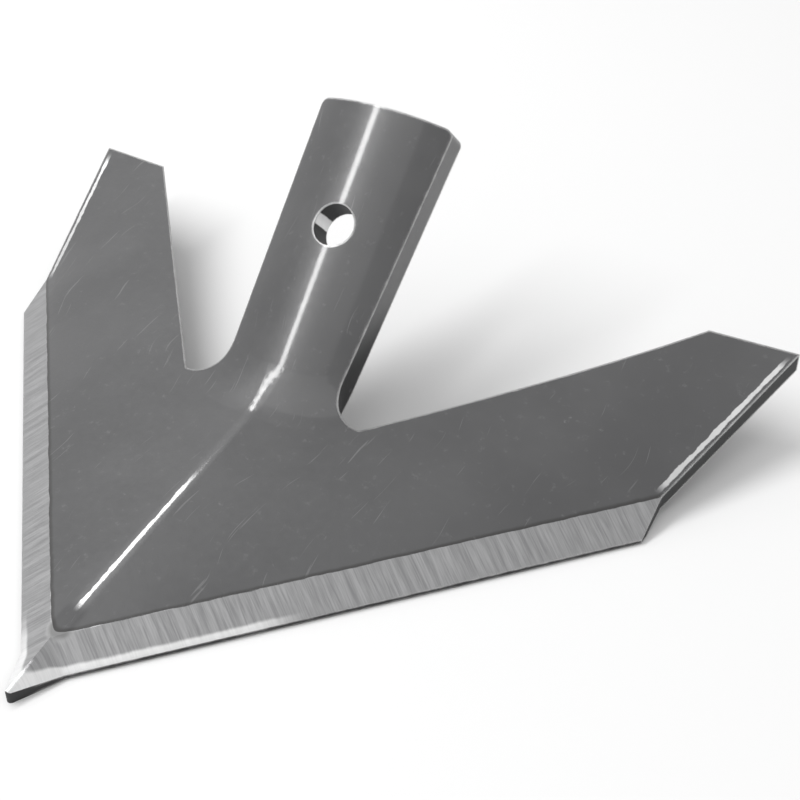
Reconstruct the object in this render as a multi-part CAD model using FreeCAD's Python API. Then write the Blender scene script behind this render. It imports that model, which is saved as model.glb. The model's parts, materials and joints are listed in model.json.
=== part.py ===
import FreeCAD, Part
import math
import os
from FreeCAD import Vector

# A cultivator sweep: two beveled wings folded along a centre ridge, and an arched
# stem that leans back over them with one bolt hole, all forged from one plate.
# The working frame has the meeting point of the two cutting edges at the origin,
# +X to the right, +Y to the back and +Z up. All lengths are in millimetres and all
# angles in degrees.

# The two cutting edges
edge_half_angle = 41.4      # between a cutting edge and the centre line, from above
edge_half_span = 95.2       # centre line to an outer cutting corner
edge_land = 1.3             # height of the blunt front of the edge
bevel_width = 7.0           # across the ground bevel, from above
bevel_angle = 36.6          # how steeply the bevel rises
bevel_end_thickness = 4.0   # of the plate behind the outer end of the bevel
level_end_width = 3.0       # of the level underside, at the outer cutting corner

# The nose, a short and thicker point ahead of the cutting edges
nose_reach = 4.1            # ahead of where the cutting edges would meet
nose_half_angle = 26.5      # between its side and the centre line, from above
nose_height = 3.2           # at its front
nose_radius = 1.0           # of its point, from above

# The wings
wing_half_span = 110.0      # centre line to an outer back corner
wing_length = 168.4         # meeting point to an outer back corner
wing_end_height = 22.9      # top of the wing at an outer back corner
wing_inner_corner = 86.9    # centre line to the inner back corner
back_edge_sweep = 6.2       # the back edge runs forward this much towards the centre
wing_root_thickness = 6.0   # at the back end of the ridge
wing_end_thickness = 3.9    # at an outer back corner
ridge_angle = 8.0           # how steeply the centre ridge rises
ridge_radius = 12.0         # rounding of the ridge, on top
valley_radius = 6.0         # and of the fold under it
trailing_half_angle = 40.5  # between a trailing edge and the centre line
notch_corner = 26.0         # centre line to the front end of a trailing edge
notch_radius = 8.0          # from there round to the side of the stem

# The stem
stem_start = 92.8           # meeting point back to where the stem leaves the ridge
stem_angle = 44.2           # lean of the stem, up from level
stem_length = 77.7          # along its front, from the ridge to the end
stem_thickness = 8.5        # at its middle
stem_crown_radius = 35.6    # of the arched front
hollow_radius = 56.0        # of the hollow behind it, which is flatter
stem_waist = 31.8           # width just above the wings
stem_top_width = 38.2       # width at the end
stem_corner_radius = 2.0    # at the two corners of the end
root_radius = 24.0          # blend between the front of the stem and the wings
heel_radius = 16.0          # rounding under the bend, behind the stem

# The bolt hole
hole_diameter = 11.0
hole_from_end = 32.3        # centre to the end of the stem, along the front

# Working values
margin = 30.0               # how far cutters run past the finished shape
bar_overrun = 4.0           # how much wider the bar for the stem is, on each side
hollow_overrun = 3.0        # and how much wider the hollow is cut behind it
tolerance = 0.005           # for finding an edge by its place


def tan(angle):
    return math.tan(math.radians(angle))


def sin(angle):
    return math.sin(math.radians(angle))


def cos(angle):
    return math.cos(math.radians(angle))


def cross(a, b):
    """Cross product of two vectors as they look from above."""
    return a.x * b.y - a.y * b.x


def on_floor(point):
    return Vector(point.x, point.y, 0)


def mirrored(shape):
    return shape.mirror(Vector(0, 0, 0), Vector(1, 0, 0))


def face_of(points):
    return Part.Face(Part.makePolygon(points + points[:1]))


def panel(a, b, c, d):
    """The face with these four corners: flat where they are in one plane, else ruled."""
    if abs((b - a).cross(d - a).dot(c - a)) < tolerance ** 2:
        return face_of([a, b, c, d])
    return Part.makeRuledSurface(Part.makeLine(a, b), Part.makeLine(d, c))


def strips_between(near, far):
    """The faces that join two closed rows of corners, one strip for each side."""
    following = list(range(1, len(near))) + [0]
    return [panel(near[i], near[j], far[j], far[i]) for i, j in enumerate(following)]


def solid_of(faces):
    return Part.makeSolid(Part.makeShell(faces))


# Lines of the sweep that the pieces below share
inward = Vector(-cos(edge_half_angle), sin(edge_half_angle), 0)
along_edge = Vector(sin(edge_half_angle), cos(edge_half_angle), 0)
bevel_top = edge_land + bevel_width * tan(bevel_angle)
cut_corner = Vector(edge_half_span, edge_half_span / tan(edge_half_angle), 0)
bevel_root = Vector(0, bevel_width / sin(edge_half_angle), bevel_top)
bevel_end = cut_corner + bevel_root
bevel_end_below = bevel_end - Vector(0, 0, bevel_end_thickness)
wing_corner = Vector(wing_half_span, wing_length, wing_end_height)
inner_corner_y = wing_length - (wing_half_span - wing_inner_corner) * tan(back_edge_sweep)
ridge_end_y = wing_length - wing_half_span * tan(back_edge_sweep)
ridge_end = Vector(0, ridge_end_y, bevel_top + (ridge_end_y - bevel_root.y) * tan(ridge_angle))
stem_foot = Vector(0, stem_start, bevel_top + (stem_start - bevel_root.y) * tan(ridge_angle))
stem_up = Vector(0, cos(stem_angle), sin(stem_angle))
stem_front = Vector(0, -sin(stem_angle), cos(stem_angle))
crown_centre = stem_foot - stem_front * stem_crown_radius
hollow_centre = stem_foot - stem_front * (stem_thickness + hollow_radius)
stem_waist_corner = Vector(stem_waist / 2, stem_start, 0)
stem_end_corner = Vector(stem_top_width / 2, stem_start + stem_length * cos(stem_angle), 0)
stem_side = (stem_end_corner - stem_waist_corner).normalize()


def rear_drop(front, rear, thickness):
    """How far straight down the underside lies below the back edge of a wing."""
    run = rear - front
    slope = run.z / run.dot(inward)
    return Vector(0, 0, thickness * math.hypot(1, slope))


root_drop = rear_drop(bevel_root, ridge_end, wing_root_thickness)
end_drop = rear_drop(bevel_end, wing_corner, wing_end_thickness)


def wing():
    """Right half of the folded plate: level under its bevel, twisted behind it."""
    land = Vector(0, 0, edge_land)
    near = [Vector(0, 0, 0), land, bevel_root, ridge_end, ridge_end - root_drop,
            on_floor(bevel_root)]
    far = [cut_corner, cut_corner + land, bevel_end, wing_corner, wing_corner - end_drop,
           bevel_end_below]
    level_end = cut_corner + Vector(0, level_end_width, 0)
    wing_side = far[2:]
    bevel_side = [far[0], far[1], far[2], far[5], level_end]
    level_side = [near[0], far[0], level_end, near[5]]
    lifted_side = [near[5], level_end, far[5]]
    flat_sides = [face_of(side) for side in (near, wing_side, bevel_side, level_side, lifted_side)]
    return solid_of(flat_sides + strips_between(near, far)[:-1])


def below_wing():
    """Everything below the middle of the right wing's thickness."""
    near = [(bevel_root + on_floor(bevel_root)) / 2, ridge_end - root_drop / 2]
    far = [(bevel_end + bevel_end_below) / 2, wing_corner - end_drop / 2]
    down = Vector(0, 0, -wing_length)
    near += [near[1] + down, near[0] + down]
    far += [far[1] + down, far[0] + down]
    return solid_of([face_of(near), face_of(far)] + strips_between(near, far))


def edge_between(shape, start, end):
    """The edge of a shape that joins two points."""
    for edge in shape.Edges:
        points = [vertex.Point for vertex in edge.Vertexes]
        if len(points) == 2 and all(
                min(target.distanceToPoint(point) for point in points) < tolerance
                for target in (start, end)):
            return edge


def blade():
    """Both wings, folded along the centre."""
    right = wing()
    sheet = right.fuse(mirrored(right)).removeSplitter()
    sheet = sheet.makeFillet(ridge_radius, [edge_between(sheet, bevel_root, ridge_end)])
    fold = edge_between(sheet, on_floor(bevel_root), ridge_end - root_drop)
    return sheet.makeFillet(valley_radius, [fold])


def arched_bar(centre, radius, half_width, depth):
    """Bar along the stem, up to its end: arched in front, with straight sides behind."""
    def at(x, forward):
        return centre + Vector(x, 0, 0) + stem_front * forward

    spring = math.sqrt(radius ** 2 - half_width ** 2)
    arch = Part.Arc(at(-half_width, spring), at(0, radius), at(half_width, spring)).toShape()
    corners = [at(half_width, spring), at(half_width, -depth),
               at(-half_width, -depth), at(-half_width, spring)]
    sides = [Part.makeLine(a, b) for a, b in zip(corners, corners[1:])]
    profile = Part.Face(Part.Wire([arch] + sides))
    profile.translate(stem_up * -margin)
    return profile.extrude(stem_up * (stem_length + margin))


def stem_bar():
    """The stem before it is hollowed: solid behind, and wider than it will be."""
    bar = arched_bar(crown_centre, stem_crown_radius, stem_top_width / 2 + bar_overrun, 0)
    below = below_wing()
    return bar.cut(below).cut(mirrored(below))


def stem_hollow():
    """The space behind the arched stem, down through the back of the wings."""
    half_width = stem_top_width / 2 + hollow_overrun
    tunnel = arched_bar(hollow_centre, hollow_radius, half_width, wing_length)
    corner = Vector(-hollow_radius, stem_start, -2 * wing_length)
    return tunnel.common(Part.makeBox(2 * hollow_radius, 3 * wing_length, 4 * wing_length, corner))


def arch_edges(shape, centre, radius, height):
    """Edges along an arched side of the stem that stay below a height."""
    found = []
    for edge in shape.Edges:
        points = edge.discretize(5)
        forward = [(point - centre).dot(stem_front) for point in points]
        on_side = all(abs(math.hypot(point.x, reach) - radius) < tolerance
                      for point, reach in zip(points, forward))
        if on_side and all(point.z < height for point in points):
            found.append(edge)
    return found


def notch_arc(corner):
    """Both ends and the middle of the arc from a trailing edge to the side of the stem."""
    outward = Vector(stem_side.y, -stem_side.x, 0)
    from_corner = stem_waist_corner + outward * notch_radius - corner
    before = from_corner.dot(stem_side)
    reach = math.sqrt(before ** 2 - from_corner.dot(from_corner) + notch_radius ** 2) - before
    centre = corner + from_corner + stem_side * reach
    end = centre - outward * notch_radius
    halfway = ((corner - centre) + (end - centre)).normalize()
    return corner, centre + halfway * notch_radius, end


def side_gap():
    """What is open between the stem and the right wing, as a tall block."""
    inner_corner = Vector(wing_inner_corner, inner_corner_y, 0)
    trailing = Vector(sin(trailing_half_angle), cos(trailing_half_angle), 0)
    edge_length = (wing_inner_corner - notch_corner) / trailing.x
    start, middle, end = notch_arc(inner_corner - trailing * edge_length)
    beyond_corner = inner_corner + trailing * wing_length
    beyond_end = stem_end_corner + stem_side * wing_length
    edges = [
        Part.makeLine(beyond_corner, start),
        Part.Arc(start, middle, end).toShape(),
        Part.makeLine(end, beyond_end),
        Part.makeLine(beyond_end, beyond_corner)]
    block = Part.Face(Part.Wire(edges)).extrude(Vector(0, 0, wing_length))
    block.translate(Vector(0, 0, -margin))
    return block


def end_corners(shape):
    """The two straight edges at the corners of the stem's end."""
    found = []
    for edge in shape.Edges:
        at_end = all(abs((vertex.Point - stem_foot).dot(stem_up) - stem_length) < tolerance
                     for vertex in edge.Vertexes)
        if at_end and abs(edge.CenterOfMass.x) > stem_waist / 2:
            found.append(edge)
    return found


def nose_point(tip_low, tip_high):
    """The thicker point ahead of the cutting edges, up to the root of the bevels."""
    side = Vector(sin(nose_half_angle), cos(nose_half_angle), 0)
    right_low = along_edge * (cross(tip_low, side) / cross(along_edge, side))
    right_high = right_low + Vector(0, 0, edge_land)
    left_low = Vector(-right_low.x, right_low.y, 0)
    left_high = left_low + Vector(0, 0, edge_land)
    return solid_of([
        face_of([tip_low, right_low, left_low]),
        face_of([tip_low, right_low, right_high, tip_high]),
        face_of([tip_low, tip_high, left_high, left_low]),
        face_of([tip_high, right_high, bevel_root]),
        face_of([tip_high, bevel_root, left_high]),
        face_of([right_low, left_low, left_high, right_high]),
        face_of([left_high, bevel_root, right_high])])


def with_nose(blank):
    """The blank with its nose, which is sharp first and then rounded."""
    corner_reach = nose_reach + nose_radius * (1 / sin(nose_half_angle) - 1)
    tip_low = Vector(0, -corner_reach, 0)
    tip_high = tip_low + Vector(0, 0, nose_height)
    body = blank.fuse(nose_point(tip_low, tip_high)).removeSplitter()
    return body.makeFillet(nose_radius, [edge_between(body, tip_low, tip_high)])


def bolt_hole():
    """Square through the stem, on its centre line."""
    crown = stem_foot + stem_up * (stem_length - hole_from_end)
    return Part.makeCylinder(hole_diameter / 2, 2 * margin, crown - stem_front * margin, stem_front)


def sweep():
    """The whole sweep, in the working frame."""
    body = blade().fuse(stem_bar()).removeSplitter()
    root = arch_edges(body, crown_centre, stem_crown_radius, stem_foot.z + wing_root_thickness / 2)
    body = body.makeFillet(root_radius, root)
    body = body.cut(stem_hollow())
    heel = arch_edges(body, hollow_centre, hollow_radius, stem_foot.z - wing_root_thickness / 2)
    body = body.makeFillet(heel_radius, heel)
    gap = side_gap()
    body = body.cut(gap).cut(mirrored(gap)).removeSplitter()
    body = body.makeFillet(stem_corner_radius, end_corners(body))
    return with_nose(body).cut(bolt_hole())


os.makedirs("parts", exist_ok=True)
finished = sweep()
finished.translate(Vector(0, (nose_reach - wing_length) / 2, 0))
finished.exportStep("parts/sweep.step")
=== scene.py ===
import bpy
import json
import math
from mathutils import Matrix, Vector


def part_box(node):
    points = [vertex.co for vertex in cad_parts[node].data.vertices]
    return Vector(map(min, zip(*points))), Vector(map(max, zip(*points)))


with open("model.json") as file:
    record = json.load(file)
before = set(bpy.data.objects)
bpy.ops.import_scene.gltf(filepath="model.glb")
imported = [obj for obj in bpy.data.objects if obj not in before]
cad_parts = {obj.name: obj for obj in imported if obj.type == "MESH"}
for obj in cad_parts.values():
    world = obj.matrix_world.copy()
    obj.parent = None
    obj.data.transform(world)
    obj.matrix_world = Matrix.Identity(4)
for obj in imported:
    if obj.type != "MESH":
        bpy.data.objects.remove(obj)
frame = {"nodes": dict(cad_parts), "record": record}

bpy.context.view_layer.update()

# The sweep is one forging of spring steel: two wings folded along a ridge, and an
# arched stem with one bolt hole. It is dipped in dark grey paint, and then its cutting
# edges are ground to a bevel, which leaves a band of bare steel along the front.
sweep = frame["nodes"]["sweep"]
finish = bpy.data.materials.new("painted and ground steel")
finish.use_nodes = True
tree = finish.node_tree
shader = tree.nodes["Principled BSDF"]
mm = 0.001


def node(kind, inputs=(), output=0, **settings):
    """Adds a node with its settings and its inputs, by place or by name. Gives one output."""
    made = tree.nodes.new("ShaderNode" + kind)
    for name, value in settings.items():
        setattr(made, name, value)
    pairs = inputs.items() if isinstance(inputs, dict) else enumerate(inputs)
    for end, value in pairs:
        if isinstance(value, bpy.types.NodeSocket):
            tree.links.new(value, made.inputs[end])
        else:
            made.inputs[end].default_value = value
    return made.outputs[output]


def part_of(point, axis):
    """One of the three numbers of a point or a direction."""
    return node("SeparateXYZ", [point], axis)


def size_of(value):
    return node("Math", [value], operation="ABSOLUTE")


def above(value, limit, softness):
    """1 where the value is above the limit and 0 where it is below, with a soft change."""
    return node("MapRange", (value, limit - softness, limit + softness),
                interpolation_type="SMOOTHSTEP")


# X is across the wings, Y goes to the back and Z is up.
place = node("TexCoord", output="Object")
across = part_of(place, "X")
back = part_of(place, "Y")
height = part_of(place, "Z")
from_middle = size_of(across)
facing = node("NewGeometry", output="Normal")
facing_up = part_of(facing, "Z")
on_top = above(facing_up, 0.45, 0.10)

# Seen from above, each point lies some way behind the nearer cutting edge and some way
# along it. The two edges would meet a little behind the tip of the nose, and there the
# inner corner of the band is rounded, as the grinding belt leaves it.
edge_half_angle = math.radians(41.4)
nose_half_angle = math.radians(26.5)
nose_reach = 4.1 * mm
corner_rounding = 1.4 * mm
lowest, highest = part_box("sweep")


def plus(first, second):
    return node("Math", (first, second), operation="ADD")


def minus(first, second):
    return node("Math", (first, second), operation="SUBTRACT")


def product(first, *others):
    for other in others:
        first = node("Math", (first, other), operation="MULTIPLY")
    return first


aside = node("Math", [plus(product(across, across), corner_rounding ** 2)], operation="SQRT")
behind_tip = minus(back, lowest.y)
behind_meeting = minus(behind_tip, nose_reach)
behind_edge = minus(product(behind_meeting, math.sin(edge_half_angle)),
                    product(aside, math.cos(edge_half_angle)))
along_edge = plus(product(aside, math.sin(edge_half_angle)),
                  product(behind_meeting, math.cos(edge_half_angle)))
behind_nose = minus(product(behind_tip, math.sin(nose_half_angle)),
                    product(aside, math.cos(nose_half_angle)))

# The ground band is as wide as the bevel, give or take what the belt wanders, and the
# paint is scorched in a thin seam beside it. A finer last pass has polished a narrow
# strip round the nose and along the edges, much further on the right.
band_width = 7.0 * mm
seam_middle = 0.7 * mm
strip_width = 1.25 * mm
strip_on_right = 57 * mm
strip_on_left = 16 * mm
belt_wander = 0.6 * mm


def noise(point, size, detail=2.0, roughness=0.5):
    """Smooth noise from 0 to 1, with spots of about this size in metres."""
    return node("TexNoise", {"Vector": point, "Scale": 1 / size, "Detail": detail,
                             "Roughness": roughness})


def below(value, limit, softness):
    """1 where the value is below the limit and 0 where it is above, with a soft change."""
    return node("MapRange", (value, limit - softness, limit + softness, 1.0, 0.0),
                interpolation_type="SMOOTHSTEP")


def larger(first, second):
    return node("Math", (first, second), operation="MAXIMUM")


border = plus(behind_edge, product(minus(noise(place, 4 * mm, 3.0), 0.5), belt_wander))
ground = product(below(border, band_width, 0.1 * mm), on_top)
scorched = product(below(border, band_width + seam_middle, 0.4 * mm), on_top)
on_left = below(across, 0.0, 0.2 * mm)
along_strip = plus(along_edge, product(on_left, strip_on_right - strip_on_left))
polished = product(below(larger(border, behind_nose), strip_width, 0.35 * mm),
                   below(along_strip, strip_on_right, 7 * mm), on_top)

# Every edge is a little rounded, and the paint has rubbed through in patches along the
# sharpest of them. The corner where the ridge runs into the ground band is matt and
# unworn, and the ground faces are crisp, up to the strip along the cutting edge.
edge_rounding = 1.1 * mm
corner_half_width = 3 * mm
corner_back = -62 * mm
patchiness = 0.17
sharp_enough = 0.06


def along(first, second):
    """How far the first arrow goes along the second, which is one unit long."""
    return node("VectorMath", (first, second), "Value", operation="DOT_PRODUCT")


rounded = node("Bevel", {"Radius": edge_rounding}, samples=6)
patches = minus(noise(place, 3.5 * mm, 4.0, 0.6), 0.5)
corner = product(below(from_middle, corner_half_width, 1 * mm), below(back, corner_back, 2 * mm))
sharpness = minus(plus(product(patches, patchiness), 1.0), along(rounded, facing))
rubbed = product(above(sharpness, sharp_enough, 0.03), minus(1.0, corner))
crisp = product(larger(ground, product(corner, on_top)), above(border, 1.7 * mm, 0.5 * mm))
edge_normal = node("Mix", {"Factor": crisp, 4: rounded, 5: facing}, 1, data_type="VECTOR")

# Sweeps are stacked in a crate, one on the next. That has rubbed a line along the
# ridge, and another just inside the outer end of each wing.
ragged_by = 1.2 * mm
crest_half_width = 0.5 * mm
crest_front = -62.5 * mm
crest_back = -20 * mm
crest_wear = 0.9
from_crest = plus(from_middle, product(patches, ragged_by))
crest = product(below(from_crest, crest_half_width, 0.2 * mm), crest_wear,
                above(back, crest_front, 1.5 * mm), below(back, crest_back, 4 * mm))
end_lean = math.radians(16.5)
line_inset = 1.43 * mm
line_half_width = 0.55 * mm
line_front = 38 * mm
line_back = 82.5 * mm
inside_end = minus(product(minus(back, highest.y), math.sin(end_lean)),
                   product(minus(from_middle, highest.x), math.cos(end_lean)))
from_line = plus(size_of(minus(inside_end, line_inset)), product(patches, ragged_by))
wing_end = product(below(from_line, line_half_width, 0.15 * mm),
                   above(back, line_front, 2 * mm), below(back, line_back, 2.5 * mm))
rubbed = larger(rubbed, product(larger(crest, wing_end), on_top))

# The sweep lies and slides on the level strip under its cutting edges, which is
# scuffed from front to back.
scuff_wear = 0.7


def drawn_out(point, factors):
    """The point for a pattern that is longer along the axes with a small factor."""
    return node("VectorMath", (point, factors), operation="MULTIPLY")


resting = product(below(height, 0.2 * mm, 0.1 * mm), below(facing_up, -0.997, 0.002))
scuffs = above(noise(drawn_out(place, (1.0, 0.12, 1.0)), 1.2 * mm, 3.0, 0.6), 0.57, 0.15)
rubbed = larger(rubbed, product(resting, scuffs, scuff_wear))

# The outline of the plate is sheared and the bolt hole is punched. Both are matt, with
# fine upright tears under the paint; upright faces low down and the wall of the hole get
# painted shade. The bolt has rubbed the wall of the hole bright on both sides.
wings_height = 29 * mm
bolt_hole = frame["record"]["mounts"][0]
hole_radius = bolt_hole["dims"]["r_mm"] * mm
hole_axis = Vector(bolt_hole["axis"])
up_stem = Vector((0, hole_axis.z, -hole_axis.y))
bolt_mark_middle = 0.7 * mm
bolt_mark_half_width = 1.5 * mm
from_hole = node("VectorMath", (place, Vector(bolt_hole["pos_m"])), operation="SUBTRACT")
from_axis = node("VectorMath", (from_hole, hole_axis), operation="CROSS_PRODUCT")
in_hole = below(node("VectorMath", [from_axis], "Value", operation="LENGTH"),
                hole_radius + 0.085 * mm, 0.065 * mm)
upright = below(size_of(facing_up), 0.25, 0.10)
# Upright faces below the wings' height and the wall of the hole are matt and torn, and get painted
# shade.
sheared_and_painted_shade = larger(product(upright, below(height, wings_height, 7 * mm)), in_hole)
tears = noise(drawn_out(place, (1.0, 1.0, 0.12)), 0.6 * mm, 3.0, 0.6)
from_mark = plus(size_of(minus(along(from_hole, up_stem), bolt_mark_middle)),
                 product(patches, 1 * mm))
rubbed = larger(rubbed, product(below(from_mark, bolt_mark_half_width, 0.2 * mm), in_hole))

# The belt leaves fine lines that cross the band a little askew. Handling leaves a few
# faint scratches on the paint, which swerve as they run back.
belt_slant = 0.22
line_stretch = 0.05
scratch_stretch = 0.035


def mixed(share, first, second):
    """A number between two numbers."""
    return node("Mix", {"Factor": share, 2: first, 3: second})


askew = plus(along_edge, product(behind_edge, belt_slant))
belt_place = node("CombineXYZ", (askew, product(behind_edge, line_stretch), 0.0))
lines = mixed(0.4, noise(belt_place, 0.35 * mm, 3.0, 0.6), noise(belt_place, 1.6 * mm))
swerve = node("CombineXYZ", [product(noise(place, 50 * mm), 25 * mm)])
scratch_place = drawn_out(node("VectorMath", (place, swerve)),
                          (1.0, scratch_stretch, scratch_stretch))
scratches = product(above(noise(scratch_place, 0.7 * mm), 0.71, 0.02), on_top)

# The paint is slightly cloudy, and shows the grain of the forging under it. It is
# darker in the scorched seam and lighter in the scratches, and painted shade darkens the
# upright faces low down and the wall of the hole.
dark_paint, even_paint = (0.054, 0.054, 0.056), (0.070, 0.070, 0.072)
worn_paint, scratched_paint = (0.088, 0.088, 0.090), (0.17, 0.17, 0.172)
# The last colour is painted shade, for the low upright faces and the wall of the hole.
scorched_paint, painted_shade_grey = (0.015, 0.014, 0.013), (0.022, 0.022, 0.023)


def mixed_colour(share, first, second):
    """A colour between two colours, each of them three numbers or an output."""
    colours = [(*value, 1.0) if isinstance(value, tuple) else value for value in (first, second)]
    return node("Mix", {"Factor": share, 6: colours[0], 7: colours[1]}, 2, data_type="RGBA")


cloud = noise(place, 30 * mm, 3.0)
grain = noise(place, 2.2 * mm, 4.0, 0.62)
peel = noise(place, 0.7 * mm)
paint = mixed_colour(above(cloud, 0.5, 0.2), dark_paint, even_paint)
paint = mixed_colour(above(grain, 0.675, 0.075), paint, worn_paint)
paint = mixed_colour(product(scratches, 0.5), paint, scratched_paint)
paint = mixed_colour(product(scorched, 0.8), paint, scorched_paint)
# Painted shade: the low upright faces and the wall of the bolt hole are coloured dark.
paint = mixed_colour(sheared_and_painted_shade, paint, painted_shade_grey)
matt = larger(sheared_and_painted_shade, corner)
paint_roughness = mixed(matt, mixed(above(grain, 0.5, 0.2), 0.32, 0.42), 0.6)
paint_relief = plus(product(grain, 0.03 * mm), product(peel, 0.006 * mm))
paint_relief = plus(paint_relief, product(tears, sheared_and_painted_shade, 0.05 * mm))

# The bare steel is brighter where it is rubbed or polished, and matt in the band's
# inner corner. The paint has a gloss, which ends where it is sheared or rubbed away.
dark_steel, light_steel = (0.33, 0.33, 0.335), (0.48, 0.48, 0.485)
rubbed_steel, polished_steel = (0.76, 0.76, 0.76), (0.95, 0.95, 0.95)
corner_steel = (0.42, 0.42, 0.42)
line_marks = above(lines, 0.5, 0.15)
inner_corner = product(corner, above(border, 5.75 * mm, 0.75 * mm))
steel = mixed_colour(line_marks, dark_steel, light_steel)
steel = mixed_colour(product(rubbed, mixed(ground, 1.0, 0.2)), steel, rubbed_steel)
steel = mixed_colour(product(polished, mixed(line_marks, 0.85, 1.0)), steel, polished_steel)
steel = mixed_colour(inner_corner, steel, corner_steel)
steel_roughness = mixed(inner_corner, mixed(above(lines, 0.5, 0.2), 0.34, 0.52), 0.95)
bare = larger(ground, rubbed)
relief = mixed(ground, paint_relief, product(lines, 0.02 * mm))
for name, value in {
        "Base Color": mixed_colour(bare, paint, steel),
        "Metallic": bare,
        "Roughness": mixed(bare, paint_roughness, steel_roughness),
        "Coat Weight": mixed(larger(bare, matt), 0.7, 0.0),
        "Normal": node("Bump", {"Distance": 1.0, "Height": relief, "Normal": edge_normal})}.items():
    tree.links.new(value, shader.inputs[name])
shader.inputs["Coat Roughness"].default_value = 0.10
sweep.material_slots[0].material = finish

# The floor is a plain pale sheet that runs far back. The sweep rests on it with its
# cutting edges and its nose.
floor_size = 60
bpy.ops.mesh.primitive_plane_add(size=floor_size, location=(0, 0, 0))
floor = bpy.context.object
floor.name = "floor"
pale = bpy.data.materials.new("pale floor")
pale.use_nodes = True
pale_shader = pale.node_tree.nodes["Principled BSDF"]
pale_shader.inputs["Base Color"].default_value = (0.80, 0.80, 0.80, 1)
pale_shader.inputs["Roughness"].default_value = 0.9
floor.data.materials.append(pale)

# The studio is an even pale room, a little brighter on the left. From here on the
# helpers add their nodes to the room.
world = bpy.data.worlds.new("studio")
bpy.context.scene.world = world
world.use_nodes = True
tree = world.node_tree
room = tree.nodes["Background"]
room.inputs["Color"].default_value = (1, 1, 1, 1)
rightward = part_of(node("TexCoord", output="Generated"), "X")
tree.links.new(mixed(above(rightward, 0.0, 0.9), 0.76, 0.64), room.inputs["Strength"])

# Two flat lamps light the sweep. A wide soft one hangs above. A narrow one hangs above
# on the left, and shows as a bright line on the crown of the stem.
light_target = Vector((0, 0, 40 * mm))


def hang_panel(width, length, distance, direction, watts):
    """Hangs a flat lamp that looks at the sweep. Its length runs from front to back."""
    away = Vector(direction).normalized()
    sideways = Vector((0, 1, 0)).cross(away).normalized()
    bpy.ops.object.light_add(type="AREA", location=light_target + away * distance)
    panel = bpy.context.object
    panel.data.shape = "RECTANGLE"
    panel.data.size = width
    panel.data.size_y = length
    panel.data.energy = watts
    panel.rotation_euler = Matrix((sideways, away.cross(sideways), away)).transposed().to_euler()


hang_panel(width=2.2, length=2.2, distance=2.4, direction=(-0.20, -0.30, 0.93), watts=10)
hang_panel(width=0.10, length=1.45, distance=1.2, direction=(-0.50, -0.16, 0.80), watts=10)

# The camera stands above, to the right and in front of the nose. Its lens is a little
# longer than a normal one, so that the near wing isn't drawn out.
camera_place = (0.17658, -0.22658, 0.23788)
view_direction = Vector((-0.4020, 0.6896, -0.6023))
bpy.ops.object.camera_add(location=camera_place)
camera = bpy.context.object
camera.rotation_euler = view_direction.to_track_quat("-Z", "Y").to_euler()
camera.data.lens = 66.93
camera.data.sensor_width = 36
camera.data.clip_start = 0.01
bpy.context.scene.camera = camera
bpy.context.scene.view_settings.view_transform = "Standard"

bpy.context.view_layer.update()
